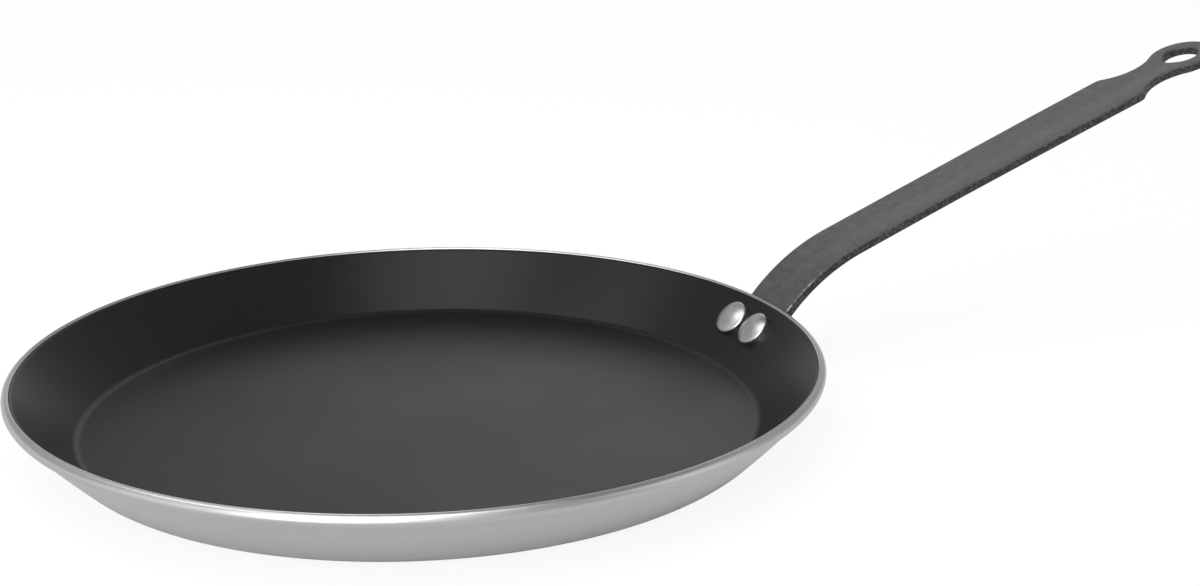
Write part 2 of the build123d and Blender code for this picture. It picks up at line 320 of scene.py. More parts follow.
def body_profile(pan):
    """Section of the metal, from the middle of the underside round the lip to the middle of the floor."""
    wall = Wall(pan)
    foot = wall.round_centre(0, pan.foot_radius, pan.foot_radius)
    shoulder = wall.shoulder()
    top = pan.height - pan.lip_inner_radius
    inner_lip = wall.round_centre(pan.wall_thickness, top, -pan.lip_inner_radius)
    inner_foot_height = pan.floor_thickness + pan.foot_inner_radius
    inner_foot = wall.round_centre(pan.wall_thickness, inner_foot_height, pan.foot_inner_radius)
    foot_turn = bearing(wall.centre, foot)
    shoulder_turn = bearing(wall.centre, shoulder)
    lip_turn = bearing(wall.lip_centre, shoulder)
    inner_lip_turn = bearing(wall.centre, inner_lip)
    inner_foot_turn = bearing(wall.centre, inner_foot)
    inside = wall.radius - pan.wall_thickness
    underside_edge = Vector((foot.x, 0))
    floor_edge = Vector((inner_foot.x, pan.floor_thickness))
    lip_top = Vector((wall.lip_centre.x, pan.height))
    inner_top = Vector((inner_lip.x, pan.height))
    return joined(
        line(Vector((0, 0)), underside_edge, steps=24),
        arc(foot, pan.foot_radius, -math.pi / 2, foot_turn, steps=16),
        arc(wall.centre, wall.radius, foot_turn, shoulder_turn, steps=16),
        arc(shoulder, pan.lip_shoulder_radius, shoulder_turn, lip_turn, steps=6),
        arc(wall.lip_centre, pan.lip_radius, lip_turn, math.pi / 2, steps=12),
        line(lip_top, inner_top, steps=1),
        arc(inner_lip, pan.lip_inner_radius, math.pi / 2, inner_lip_turn + math.pi, steps=6),
        arc(wall.centre, inside, inner_lip_turn, inner_foot_turn, steps=12),
        arc(inner_foot, pan.foot_inner_radius, inner_foot_turn, -math.pi / 2, steps=10),
        line(floor_edge, Vector((0, pan.floor_thickness)), steps=24),
    )


def inside_run(pan, inset, floor, radius):
    """Inside surface at an inset, from the middle of the floor out and up to the coating's edge."""
    wall = Wall(pan)
    foot = wall.round_centre(inset, floor + radius, radius)
    turn = bearing(wall.centre, foot)
    edge_height = pan.height - pan.coating_edge_drop
    edge = Vector((wall.reach(inset, edge_height), edge_height))
    return joined(
        line(Vector((0, floor)), Vector((foot.x, floor)), steps=40),
        arc(foot, radius, -math.pi / 2, turn, steps=12),
        arc(wall.centre, wall.radius - inset, turn, bearing(wall.centre, edge), steps=24),
    )


def coating_profile(pan):
    """Section of the coating: its back on the metal, its edge, and the side that the food touches."""
    wall = Wall(pan)
    back = inside_run(pan, pan.wall_thickness, pan.floor_thickness, pan.foot_inner_radius)
    face_radius = pan.foot_inner_radius - pan.coating_thickness
    face = inside_run(pan, wall.coated_inset, wall.coated_floor, face_radius)
    return joined(back, reversed(face))


# Node trees

def new_tree(name, inputs):
    """Geometry node tree with a mesh in, a mesh out and named inputs for sizes."""
    tree = bpy.data.node_groups.new(name, "GeometryNodeTree")
    tree.interface.new_socket("Geometry", in_out="INPUT", socket_type="NodeSocketGeometry")
    for label, kind in inputs:
        tree.interface.new_socket(label, in_out="INPUT", socket_type=kind)
    tree.interface.new_socket("Geometry", in_out="OUTPUT", socket_type="NodeSocketGeometry")
    return tree


def node(tree, kind, links=None, values=None, **settings):
    """Node with its settings, its inputs' values and what its inputs are linked to."""
    made = tree.nodes.new(kind)
    for key, value in settings.items():
        setattr(made, key, value)
    for key, value in (values or {}).items():
        made.inputs[key].default_value = value
    for key, source in (links or {}).items():
        tree.links.new(source, made.inputs[key])
    return made


def math_node(tree, operation, first, second=None):
    """Result of a sum on two sockets or numbers."""
    made = tree.nodes.new("ShaderNodeMath")
    made.operation = operation
    for socket, value in zip(made.inputs, (first, second)):
        if isinstance(value, bpy.types.NodeSocket):
            tree.links.new(value, socket)
        elif value is not None:
            socket.default_value = value
    return made.outputs[0]


def turning_tree():
    """Tree that turns a section, given as a chain of points, round the upright axis into a closed mesh."""
    if TURNING in bpy.data.node_groups:
        return bpy.data.node_groups[TURNING]
    tree = new_tree(TURNING, [
        ("Steps around", "NodeSocketInt"),
        ("Ripple depth", "NodeSocketFloat"),
        ("Ripple size", "NodeSocketFloat"),
        ("Seed", "NodeSocketInt"),
        ("Material", "NodeSocketMaterial"),
    ])
    given = node(tree, "NodeGroupInput").outputs
    count = node(tree, "GeometryNodeAttributeDomainSize", {"Geometry": given["Geometry"]})
    columns = math_node(tree, "ADD", given["Steps around"], 1)
    grid = node(
        tree, "GeometryNodeMeshGrid", {"Vertices X": count.outputs["Point Count"], "Vertices Y": columns},
    )
    index = node(tree, "GeometryNodeInputIndex").outputs[0]
    ring = math_node(tree, "FLOOR", math_node(tree, "DIVIDE", math_node(tree, "ADD", index, 0.5), columns))
    step = math_node(tree, "SUBTRACT", index, math_node(tree, "MULTIPLY", ring, columns))
    turn = math_node(tree, "MULTIPLY", math_node(tree, "DIVIDE", step, given["Steps around"]), -2 * math.pi)
    place = node(tree, "GeometryNodeInputPosition").outputs[0]
    section = node(
        tree, "GeometryNodeSampleIndex", {"Geometry": given["Geometry"], "Value": place, "Index": ring},
        data_type="FLOAT_VECTOR",
    )
    section_place = next(s for s in section.outputs if s.enabled)
    turned = node(
        tree, "ShaderNodeVectorRotate", {"Vector": section_place, "Angle": turn}, rotation_type="Z_AXIS",
    )
    lathe = node(
        tree, "GeometryNodeSetPosition",
        {"Geometry": grid.outputs["Mesh"], "Position": turned.outputs["Vector"]},
    )
    closed = node(
        tree, "GeometryNodeMergeByDistance", {"Geometry": lathe.outputs[0]}, {"Distance": MERGE_DISTANCE},
    )
    ripple = node(
        tree, "ShaderNodeTexNoise",
        {"Scale": math_node(tree, "DIVIDE", 1.0, given["Ripple size"]), "W": given["Seed"]},
        {"Detail": 1.0}, noise_dimensions="4D",
    )
    depth = math_node(tree, "MULTIPLY", math_node(tree, "SUBTRACT", ripple.outputs["Fac"], 1.0),
                      given["Ripple depth"])
    normal = node(tree, "GeometryNodeInputNormal").outputs[0]
    offset = node(tree, "ShaderNodeVectorMath", {0: normal, "Scale": depth}, operation="SCALE")
    rippled = node(
        tree, "GeometryNodeSetPosition",
        {"Geometry": closed.outputs[0], "Offset": offset.outputs[0]},
    )
    smooth = node(tree, "GeometryNodeSetShadeSmooth", {"Geometry": rippled.outputs[0]})
    real = node(tree, "GeometryNodeRealizeInstances", {"Geometry": smooth.outputs[0]})
    dressed = node(
        tree, "GeometryNodeSetMaterial", {"Geometry": real.outputs[0], "Material": given["Material"]},
    )
    node(tree, "NodeGroupOutput", {0: dressed.outputs[0]})
    return tree


def rivet_tree():
    """Tree that turns one rivet, seats it on the wall and sets it once each side of the handle."""
    tree = new_tree("Rivet pair", [
        ("Steps around", "NodeSocketInt"),
        ("Dent depth", "NodeSocketFloat"),
        ("Dent size", "NodeSocketFloat"),
        ("Seed", "NodeSocketInt"),
        ("Seat", "NodeSocketVector"),
        ("Tilt", "NodeSocketFloat"),
        ("Turn", "NodeSocketFloat"),
        ("Material", "NodeSocketMaterial"),
    ])
    given = node(tree, "NodeGroupInput").outputs
    one = node(
        tree, "GeometryNodeGroup",
        {"Geometry": given["Geometry"], "Steps around": given["Steps around"],
         "Seed": given["Seed"], "Material": given["Material"]},
        {"Ripple depth": 0.0, "Ripple size": 1.0}, node_tree=turning_tree(),
    )
    tilt = node(tree, "ShaderNodeCombineXYZ", {"Y": given["Tilt"]})
    seated = node(
        tree, "GeometryNodeTransform",
        {"Geometry": one.outputs[0], "Translation": given["Seat"], "Rotation": tilt.outputs[0]},
    )
    points = node(tree, "GeometryNodePoints", values={"Count": 2})
    index = node(tree, "GeometryNodeInputIndex").outputs[0]
    side = math_node(tree, "SUBTRACT", math_node(tree, "MULTIPLY", index, 2.0), 1.0)
    spin = node(tree, "ShaderNodeCombineXYZ", {"Z": math_node(tree, "MULTIPLY", side, given["Turn"])})
    pair = node(
        tree, "GeometryNodeInstanceOnPoints",
        {"Points": points.outputs[0], "Instance": seated.outputs[0], "Rotation": spin.outputs[0]},
    )
    real = node(tree, "GeometryNodeRealizeInstances", {"Geometry": pair.outputs[0]})
    dents = node(
        tree, "ShaderNodeTexNoise",
        {"Scale": math_node(tree, "DIVIDE", 1.0, given["Dent size"]), "W": given["Seed"]},
        {"Detail": 1.5}, noise_dimensions="4D",
    )
    depth = math_node(tree, "MULTIPLY", math_node(tree, "SUBTRACT", dents.outputs["Fac"], 1.0),
                      given["Dent depth"])
    normal = node(tree, "GeometryNodeInputNormal").outputs[0]
    offset = node(tree, "ShaderNodeVectorMath", {0: normal, "Scale": depth}, operation="SCALE")
    dented = node(
        tree, "GeometryNodeSetPosition", {"Geometry": real.outputs[0], "Offset": offset.outputs[0]},
    )
    dressed = node(
        tree, "GeometryNodeSetMaterial", {"Geometry": dented.outputs[0], "Material": given["Material"]},
    )
    node(tree, "NodeGroupOutput", {0: dressed.outputs[0]})
    return tree


def chain_mesh(name, points):
    """Section as a chain of points joined by edges, in the upright plane through the axis."""
    mesh = bpy.data.meshes.new(name)
    places = [(point.x, 0, point.y) for point in points]
    mesh.from_pydata(places, [(i, i + 1) for i in range(len(places) - 1)], [])
    return mesh


def show(name, mesh):
    """Object for a mesh, linked to the scene, at the origin."""
    made = bpy.data.objects.new(name, mesh)
    bpy.context.scene.collection.objects.link(made)
    return made


def settled(piece, tree, values):
    """Piece with the mesh that a node tree makes of it, and no modifier left on it."""
    modifier = piece.modifiers.new(tree.name, "NODES")
    modifier.node_group = tree
    for item in tree.interface.items_tree:
        if item.in_out == "INPUT" and item.name in values:
            modifier[item.identifier] = values[item.name]
    graph = bpy.context.evaluated_depsgraph_get()
    mesh = bpy.data.meshes.new_from_object(piece.evaluated_get(graph))
    mesh.name = piece.name
    piece.modifiers.clear()
    piece.data = mesh
    face_outwards(mesh)
    return piece


def face_outwards(mesh):
    """Merge what lies in one place and turn every face outwards."""
    shape = bmesh.new()
    shape.from_mesh(mesh)
    bmesh.ops.remove_doubles(shape, verts=shape.verts, dist=MERGE_DISTANCE)
    bmesh.ops.recalc_face_normals(shape, faces=shape.faces)
    shape.to_mesh(mesh)
    shape.free()


# Materials

def new_material(name):
    """Material with its tree and its surface shader."""
    material = bpy.data.materials.new(name)
    material.use_nodes = True
    tree = material.node_tree
    shader = next(n for n in tree.nodes if n.type == "BSDF_PRINCIPLED")
    return material, tree, shader


def span(tree, source, low, high, to_low=0.0, to_high=1.0, smooth=True):
    """Value of a socket carried from one range to another and held at its ends."""
    made = node(
        tree, "ShaderNodeMapRange", {"Value": source},
        {"From Min": low, "From Max": high, "To Min": to_low, "To Max": to_high},
        interpolation_type="SMOOTHSTEP" if smooth else "LINEAR",
    )
    return made.outputs["Result"]


def grain(tree, vector, scale, detail, roughness):
    """Noise at a scale in lumps to the metre."""
    made = node(
        tree, "ShaderNodeTexNoise", {"Vector": vector},
        {"Scale": scale, "Detail": detail, "Roughness": roughness},
    )
    return made.outputs["Fac"]


def mixed(tree, factor, first, second, blend="MIX"):
    """Mix of two colours, each a socket or a colour."""
    made = node(tree, "ShaderNodeMix", data_type="RGBA", blend_type=blend)
    for socket, value in ((made.inputs[0], factor), (made.inputs[6], first), (made.inputs[7], second)):
        if isinstance(value, bpy.types.NodeSocket):
            tree.links.new(value, socket)
        elif isinstance(value, (int, float)):
            socket.default_value = value
        else:
            socket.default_value = (*value, 1)
    return made.outputs[2]


def bumped(tree, height, distance, strength=1.0, under=None):
    """Bump of a height map that is this deep, over another bump where one is given."""
    made = node(tree, "ShaderNodeBump", {"Height": height}, {"Distance": distance, "Strength": strength})
    if under is not None:
        tree.links.new(under, made.inputs["Normal"])
    return made.outputs[0]


def ring_vector(tree, place):
    """Radius and height of a place, so that a pattern runs round the axis."""
    parts = node(tree, "ShaderNodeSeparateXYZ", {0: place}).outputs
    flat = node(tree, "ShaderNodeCombineXYZ", {"X": parts["X"], "Y": parts["Y"]})
    radius = node(tree, "ShaderNodeVectorMath", {0: flat.outputs[0]}, operation="LENGTH").outputs["Value"]
    return node(tree, "ShaderNodeCombineXYZ", {"X": radius, "Y": parts["Z"]}).outputs[0]


def object_place(tree):
    """Place on the piece, in the piece's own coordinates."""
    return node(tree, "ShaderNodeTexCoord").outputs["Object"]


def shade(colour_value, level):
    """Colour made lighter or darker, and white at most."""
    return tuple(min(1, part * level) for part in colour_value)


def turned_metal(finish):
    """Satin aluminium with fine turning rings, a little cloudy."""
    material, tree, shader = new_material("turned_aluminium")
    place = object_place(tree)
    rings = ring_vector(tree, place)
    fine = grain(tree, rings, 2600, 3.0, 0.7)
    broad = grain(tree, rings, 420, 2.0, 0.6)
    cloud = grain(tree, place, 28, 4.0, 0.6)
    streaks = mixed(tree, 0.5, fine, broad)
    base = mixed(tree, streaks, shade(finish.metal, 0.94), shade(finish.metal, 1.05))
    base = mixed(tree, span(tree, cloud, 0.35, 0.7), base, finish.metal)
    tree.links.new(base, shader.inputs["Base Color"])
    level = finish.metal_roughness
    rough = span(tree, mixed(tree, 0.5, streaks, cloud), 0.25, 0.75, level - 0.07, level + 0.07, False)
    tree.links.new(rough, shader.inputs["Roughness"])
    shader.inputs["Metallic"].default_value = 1.0
    under = bumped(tree, broad, finish.ring_depth, 0.6)
    tree.links.new(bumped(tree, fine, finish.fine_ring_depth, 0.8, under), shader.inputs["Normal"])
    return material


def coated(finish):
    """Dark non-stick coating with a fine grain and a soft sheen."""
    material, tree, shader = new_material("nonstick_coating")
    place = object_place(tree)
    speck = grain(tree, place, 1500, 2.0, 0.7)
    cloud = grain(tree, place, 14, 3.0, 0.55)
    peel = grain(tree, place, 520, 2.0, 0.5)
    base = mixed(tree, span(tree, speck, 0.35, 0.7), shade(finish.coating, 0.75), shade(finish.coating, 1.3))
    base = mixed(tree, span(tree, cloud, 0.3, 0.75, 0.0, 0.5), base, finish.coating)
    tree.links.new(base, shader.inputs["Base Color"])
    level = finish.coating_roughness
    rough = span(tree, mixed(tree, 0.5, cloud, speck), 0.3, 0.7, level - 0.05, level + 0.06, False)
    tree.links.new(rough, shader.inputs["Roughness"])
    shader.inputs["Specular IOR Level"].default_value = 0.18
    under = bumped(tree, peel, finish.coating_relief, 0.35)
    tree.links.new(bumped(tree, speck, finish.fine_grain, 0.4, under), shader.inputs["Normal"])
    return material


def rubbed_edge(tree, along, depth, broken, handle, lip):
    """Thin broken line along the strip's upper edge, from the lip through the first half of the bend."""
    edge = handle.edge_radius
    line_mask = math_node(tree, "MULTIPLY", span(tree, depth, -edge * 0.75, -edge * 0.45),
                          span(tree, depth, -edge * 0.05, -edge * 0.2))
    reach = math_node(tree, "MULTIPLY", span(tree, along, lip - edge, lip + edge),
                      span(tree, along, lip * 0.3, lip * 0.6))
    return math_node(tree, "MULTIPLY", math_node(tree, "MULTIPLY", line_mask, reach),
                     span(tree, broken, 0.47, 0.6, 0.0, 0.9))


def painted_sheen_band(tree, along, across, handle):
    """Broad band of painted sheen: a lighter colour down the grip, a little off its middle."""
    middle = -handle.bend_width * 0.2
    off = math_node(tree, "ABSOLUTE", math_node(tree, "SUBTRACT", across, middle))
    beside = span(tree, off, 0, handle.bend_width * 0.3, 0.35, 0.0)
    reach = span(tree, along, -handle.widening_place, handle.widening_place)
    return math_node(tree, "MULTIPLY", beside, reach)


def strip_finish(finish, handle, lip):
    """Dark grained finish of the strip: rougher and darker on the sheared edges, worn at the bend, with
    painted shade by the lip and a painted sheen down the grip.
    """
    material, tree, shader = new_material("dark_strip_steel")
    place = object_place(tree)
    flat = node(tree, "ShaderNodeAttribute", attribute_name="strip_place").outputs["Vector"]
    along, across, depth = node(tree, "ShaderNodeSeparateXYZ", {0: flat}).outputs
    speck = grain(tree, place, 2000, 3.0, 0.75)
    coarse = grain(tree, place, 850, 3.0, 0.7)
    mottle = grain(tree, place, 300, 3.0, 0.6)
    cloud = grain(tree, place, 45, 3.0, 0.55)
    dark = shade(finish.handle, 0.6)
    top = mixed(tree, span(tree, mixed(tree, 0.4, speck, mottle), 0.36, 0.64), dark, shade(finish.handle, 1.4))
    top = mixed(tree, span(tree, cloud, 0.35, 0.7, 0.0, 0.4), top, finish.handle)
    # painted sheen: a lighter band down the grip, a little off its middle
    top = mixed(tree, painted_sheen_band(tree, along, across, handle), top, shade(finish.handle, 1.7))
    # painted shade: the top face is darker at the lip and fades over the first part of the bend
    top = mixed(tree, span(tree, along, lip, lip * 0.4, 0.35, 0.0), top, dark)
    side_low, side_high = shade(finish.handle, 0.16), shade(finish.handle, 1.15)
    side = mixed(tree, span(tree, coarse, 0.44, 0.66), side_low, side_high)
    edge = handle.edge_radius
    ragged = math_node(tree, "ADD", depth, span(tree, coarse, 0.3, 0.7, -edge * 0.5, edge * 0.5, False))
    upper = span(tree, ragged, -edge * 0.9, -edge * 0.4)
    lower = span(tree, ragged, -handle.thickness + edge * 0.9, -handle.thickness + edge * 0.4)
    face = math_node(tree, "MAXIMUM", upper, lower)
    base = mixed(tree, face, side, top)
    base = mixed(tree, rubbed_edge(tree, along, depth, mottle, handle, lip), base, finish.worn)
    tree.links.new(base, shader.inputs["Base Color"])
    level = finish.handle_roughness
    rough = span(tree, mixed(tree, 0.5, cloud, speck), 0.3, 0.7, level - 0.07, level + 0.08, False)
    tree.links.new(rough, shader.inputs["Roughness"])
    shader.inputs["Specular IOR Level"].default_value = 0.5
    under = bumped(tree, coarse, finish.handle_relief, 0.5)
    tree.links.new(bumped(tree, speck, finish.handle_grain, 0.5, under), shader.inputs["Normal"])
    return material


def rivet_finish(finish):
    """Satin aluminium of the rivets, with soft marks from setting them."""
    material, tree, shader = new_material("rivet_aluminium")
    place = object_place(tree)
    fine = grain(tree, place, 2400, 3.0, 0.65)
    cloud = grain(tree, place, 260, 3.0, 0.6)
    base = mixed(tree, span(tree, cloud, 0.3, 0.7), shade(finish.rivet, 0.85), finish.rivet)
    tree.links.new(base, shader.inputs["Base Color"])
    level = finish.rivet_roughness
    rough = span(tree, mixed(tree, 0.5, cloud, fine), 0.3, 0.7, level - 0.08, level + 0.08, False)
    tree.links.new(rough, shader.inputs["Roughness"])
    shader.inputs["Metallic"].default_value = 1.0
    tree.links.new(bumped(tree, fine, finish.fine_grain, 0.5), shader.inputs["Normal"])
    return material


# Handle

def rounded_corner(before, corner, after, radius, steps=8):
    """Arc that rounds a corner between two straight sides."""
    inward = (before - corner).normalized()
    outward = (after - corner).normalized()
    half = inward.angle(outward) / 2
    reach = radius / math.tan(half)
    centre = corner + (inward + outward).normalized() * (radius / math.sin(half))
    start, end = bearing(centre, corner + inward * reach), bearing(centre, corner + outward * reach)
    if end - start > math.pi:
        end -= 2 * math.pi
    if start - end > math.pi:
        end += 2 * math.pi
    return arc(centre, radius, start, end, steps)


class Strip:
    """The handle's strip: its flat blank, and where the blank's points lie once it is bent."""

    def __init__(self, handle, pan):
        self.handle = handle
        self.wall = wall = Wall(pan)
        self.wall_angle = math.asin((wall.lip.y - wall.centre.y) / (wall.radius - handle.pad_hollow))
        bend_start = polar(wall.centre, wall.radius - handle.pad_hollow, self.wall_angle)
        self.bend_centre = polar(bend_start, handle.bend_radius, self.wall_angle)
        self.bend_length = (self.wall_angle + math.pi / 2 - handle.arm_angle) * handle.bend_radius
        arm_start = polar(self.bend_centre, handle.bend_radius, handle.arm_angle + math.pi / 2)
        self.arch_centre = polar(arm_start, handle.arch_radius, handle.arm_angle - math.pi / 2)

    def half_outline(self):
        """Left half of the blank from the pad's end to the tip, counted from where the bend ends."""
        size = self.handle
        lip = -self.bend_length
        eye = Vector((size.arm_length - size.eye_diameter / 2, 0))
        eye_radius = size.eye_diameter / 2
        neck_across = size.neck_width / 2 + size.neck_radius
        neck_along = math.sqrt((eye_radius + size.neck_radius) ** 2 - neck_across ** 2)
        neck = Vector((eye.x - neck_along, neck_across))
        foot = Vector((lip - size.pad_length, 0))
        foot_corner = Vector((foot.x, size.pad_width / 2))
        flare_end = Vector((lip - size.flare_end, size.pad_width / 2))
        flare_start = Vector((lip - size.flare_start, size.bend_width / 2))
        widening = Vector((size.widening_place, size.bend_width / 2))
        shoulder_half = size.shoulder_width / 2
        shoulder_along = math.sqrt(size.neck_radius ** 2 - (neck.y - shoulder_half) ** 2)
        shoulder = Vector((neck.x - shoulder_along, shoulder_half))
        side = (shoulder - widening).normalized()
        inward = Vector((side.y, -side.x))
        start = widening + inward * size.shoulder_radius - neck
        along = start.dot(side)
        reach = size.neck_radius + size.shoulder_radius
        ahead = -along - math.sqrt(along ** 2 - start.length_squared + reach ** 2)
        round_centre = widening + inward * size.shoulder_radius + side * ahead
        side_turn = bearing(Vector((0, 0)), -inward)
        neck_turn = bearing(round_centre, neck)
        touch = bearing(eye, neck)
        return joined(
            [foot],
            rounded_corner(foot, foot_corner, flare_end, size.pad_corner_radius),
            rounded_corner(foot_corner, flare_end, flare_start, size.flare_radius),
            rounded_corner(flare_end, flare_start, widening, size.flare_radius),
            rounded_corner(flare_start, widening, shoulder, size.widening_radius, 6),
            arc(round_centre, size.shoulder_radius, side_turn, neck_turn, 8),
            arc(neck, size.neck_radius, bearing(neck, round_centre) % (2 * math.pi), touch + math.pi, 16),
            arc(eye, eye_radius, touch, 0, 32),
        )

    def half_hole(self):
        """Left half of the hanging hole, from its round end back to its narrow end."""
        size = self.handle
        eye = Vector((size.arm_length - size.eye_diameter / 2, 0))
        point = Vector((eye.x - size.hole_point_distance, 0))
        narrow = math.asin((size.hole_diameter / 2 - size.hole_point_radius) / size.hole_point_distance)
        return joined(
            arc(eye, size.hole_diameter / 2, 0, math.pi / 2 + narrow, 24),
            arc(point, size.hole_point_radius, math.pi / 2 + narrow, math.pi, 8),
        )

    def bent(self, flat):
        """Place in the room of a point of the flat blank, whose height is minus its depth in the strip."""
        size, depth = self.handle, -flat.z
        if flat.x >= 0:
            turn = size.arm_angle + math.pi / 2 - flat.x / size.arch_radius
            place = polar(self.arch_centre, size.arch_radius - depth, turn)
        elif flat.x >= -self.bend_length:
            turn = size.arm_angle + math.pi / 2 - flat.x / size.bend_radius
            place = polar(self.bend_centre, size.bend_radius - depth, turn)
        else:
            turn = self.wall_angle + (flat.x + self.bend_length) / self.wall.radius
            place = polar(self.wall.centre, self.wall.radius - size.pad_hollow + depth, turn)
        reach = math.hypot(place.x, flat.y)
        if place.y < self.wall.pan.height:
            least = self.wall.outside_reach(place.y, size.seat_clearance)
            grown = max(least / reach, 1.0)
            return Vector((place.x * grown, flat.y * grown, place.y))
        return Vector((place.x, flat.y, place.y))


def flat_blank(strip):
    """The blank as a flat plate with rounded edges, cut into small faces so that it can bend."""
    size = strip.handle
    half = joined(strip.half_outline(), strip.half_hole())
    shape = bmesh.new()
    for side in (1, -1):
        corners = [shape.verts.new((p.x, side * p.y, 0)) for p in half]
        shape.faces.new(corners if side < 0 else list(reversed(corners)))
    bmesh.ops.remove_doubles(shape, verts=shape.verts, dist=MERGE_DISTANCE)
    upper = list(shape.faces)
    grown = bmesh.ops.extrude_face_region(shape, geom=upper, use_keep_orig=True)
    lowered = [item for item in grown["geom"] if isinstance(item, bmesh.types.BMVert)]
    bmesh.ops.translate(shape, verts=lowered, vec=(0, 0, -size.thickness))
    bmesh.ops.recalc_face_normals(shape, faces=shape.faces)
    rims = [edge for edge in shape.edges if sum(abs(f.normal.z) > 0.9 for f in edge.link_faces) == 1]
    bmesh.ops.bevel(
        shape, geom=rims, offset=size.edge_radius, segments=4, profile=0.5, affect="EDGES",
        clamp_overlap=False,
    )
    low = min(v.co.x for v in shape.verts)
    high = max(v.co.x for v in shape.verts)
    across = size.pad_width / 2
    cut_through(shape, 0, low, high, size.facet)
    cut_through(shape, 1, -across, across, size.facet * 2)
    cut_through(shape, 2, -size.thickness, 0, size.facet)
    return shape


def cut_through(shape, axis, low, high, spacing):
    """Cut every face along evenly spaced planes square to an axis."""
    count = round((high - low) / spacing)
    way = Vector([1.0 if i == axis else 0.0 for i in range(3)])
    for number in range(1, count):
        everything = shape.verts[:] + shape.edges[:] + shape.faces[:]
        bmesh.ops.bisect_plane(
            shape, geom=everything, dist=SAME_POINT,
            plane_co=way * (low + (high - low) * number / count), plane_no=way,
        )


def handle_mesh(strip):
    """The blank with its sheared edges pitted, bent and fitted to the wall; it keeps its flat places."""
    size = strip.handle
    shape = flat_blank(strip)
    shape.normal_update()
    store = shape.verts.layers.float_vector.new("strip_place")
    for vert in shape.verts:
        vert[store] = vert.co
    for vert in shape.verts:
        steep = 1 - abs(vert.normal.z)
        pit = noise.fractal(vert.co / size.pit_size, *PIT_NOISE) * 0.5 + 0.5
        vert.co -= vert.normal * (size.edge_roughness * steep * min(max(pit, 0), 1))
    for vert in shape.verts:
        vert.co = strip.bent(vert.co)
    for face in shape.faces:
        face.smooth = True
    bmesh.ops.recalc_face_normals(shape, faces=shape.faces)
    mesh = bpy.data.meshes.new("handle_strip")
    shape.to_mesh(mesh)
    shape.free()
    return mesh


# Rivets

def rivet_profile(rivet, clamped):
    """Section of one rivet about its own axis, from the crown down to the button's middle."""
    edge, crown = rivet.head_diameter / 2, rivet.crown_diameter / 2
    rise = rivet.head_height - rivet.flank_height
    crown_radius = (crown ** 2 + rise ** 2) / (2 * rise)
    crown_centre = Vector((0, rivet.head_height - crown_radius))
    crown_turn = math.acos(crown / crown_radius)
    shank, tail = rivet.shank_diameter / 2, rivet.tail_diameter / 2
    button_top = rivet.root - clamped
    button_end = -clamped - rivet.tail_height
    rounding = Vector((tail - rivet.tail_radius, button_end + rivet.tail_radius))
    return joined(
        arc(crown_centre, crown_radius, math.pi / 2, crown_turn, steps=12),
        line(Vector((crown, rivet.flank_height)), Vector((edge, 0)), steps=4),
        line(Vector((edge, 0)), Vector((edge, -rivet.root)), steps=1),
        line(Vector((edge, -rivet.root)), Vector((shank, -rivet.root)), steps=2),
        line(Vector((shank, -rivet.root)), Vector((shank, button_top)), steps=2),
        line(Vector((shank, button_top)), Vector((tail, button_top)), steps=2),
        line(Vector((tail, button_top)), Vector((tail, rounding.y)), steps=2),
        arc(rounding, rivet.tail_radius, 0, -math.pi / 2, steps=6),
        line(Vector((rounding.x, button_end)), Vector((0, button_end)), steps=4),
    )


# Steps that build the pan

def turned_piece(name, profile, pan, ripple_depth, material):
    """Closed piece that a section makes when it is turned round the upright axis."""
    return settled(show(name, chain_mesh(name, profile)), turning_tree(), {
        "Steps around": pan.steps,
        "Ripple depth": ripple_depth,
        "Ripple size": pan.ripple_size,
        "Seed": RIPPLE_SEED,
        "Material": material,
    })


class CREPEPAN_OT_body(bpy.types.Operator):
    """Turn the aluminium body"""
    bl_idname = "crepe_pan.body"
    bl_label = "Turn Body"

    def execute(self, context):
        pan = context.scene.crepe_pan_sizes
        metal = turned_metal(context.scene.crepe_pan_finishes)
        piece = turned_piece("pan_body_turned", body_profile(pan), pan, pan.ripple_depth, metal)
        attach(piece, "root")
        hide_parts("pan_body")
        return {"FINISHED"}


class CREPEPAN_OT_coating(bpy.types.Operator):
    """Lay the non-stick coating over the floor and the inside of the wall"""
    bl_idname = "crepe_pan.coating"
    bl_label = "Coat Inside"

    def execute(self, context):
        pan = context.scene.crepe_pan_sizes
        coating = coated(context.scene.crepe_pan_finishes)
        piece = turned_piece("nonstick_coating", coating_profile(pan), pan, 0.0, coating)
        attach(piece, "root")
        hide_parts("nonstick_lining")
        return {"FINISHED"}


class CREPEPAN_OT_handle(bpy.types.Operator):
    """Cut the handle's blank, round its edges and bend it to its place on the wall"""
    bl_idname = "crepe_pan.handle"
    bl_label = "Bend Handle"

    def execute(self, context):
        scene = context.scene
        handle = scene.crepe_pan_handle
        strip = Strip(handle, scene.crepe_pan_sizes)
        piece = show("handle_strip", handle_mesh(strip))
        piece.data.materials.append(strip_finish(scene.crepe_pan_finishes, handle, -strip.bend_length))
        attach(piece, "root")
        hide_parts("handle")
        return {"FINISHED"}


